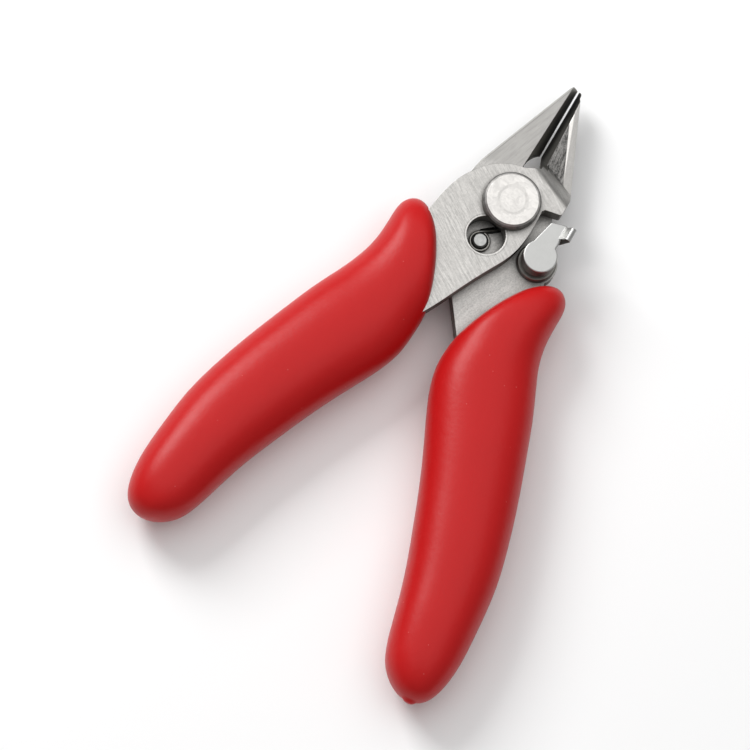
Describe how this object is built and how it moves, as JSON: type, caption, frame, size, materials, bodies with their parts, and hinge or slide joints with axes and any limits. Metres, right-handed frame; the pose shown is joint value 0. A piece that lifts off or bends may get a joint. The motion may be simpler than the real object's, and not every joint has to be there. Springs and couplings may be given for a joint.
{
  "type": "diagonal cutting pliers",
  "caption": "Miniature diagonal cutting pliers: two lapped steel halves on a rivet, return spring, swinging lock latch and moulded grips.",
  "frame": {"origin": "the pivot axis, on the rear face of the back half", "axes": "+Y along the centre line towards the jaw tips, +Z out of the front face with the rivet head, +X towards the latch side"},
  "size_m": [0.051, 0.087, 0.0108],
  "materials": {
    "plate_steel": "ground stainless sheet with fine brushed lines",
    "rivet_steel": "turned and lightly polished",
    "latch_steel": "satin stamped sheet",
    "washer_steel": "dull turned steel",
    "spring_steel": "drawn wire",
    "grip_vinyl": "satin moulded vinyl"
  },
  "bodies": {
    "back": {"back_half": "plate_steel", "right_grip": "grip_vinyl", "pivot_rivet": "rivet_steel", "spring_peg": "rivet_steel", "return_spring": "spring_steel", "latch_washer": "washer_steel", "spring_washer": "spring_steel"},
    "front": {"front_half": "plate_steel", "left_grip": "grip_vinyl"},
    "latch": {"latch_lever": "latch_steel", "latch_post": "rivet_steel"}
  },
  "joints": [
    {"name": "main_pivot", "type": "hinge", "parent": "back", "child": "front", "pos_m": [0, 0, 0.00255], "axis": [0, 0, -1], "range_deg": [-0.6, 12], "stiffness_Nm_per_rad": 0.05, "deforming": ["return_spring"]},
    {"name": "latch_swing", "type": "hinge", "parent": "back", "child": "latch", "pos_m": [0.00705, -0.0049, 0.0025], "axis": [0, 0, -1], "range_deg": [0, 60]}
  ]
}
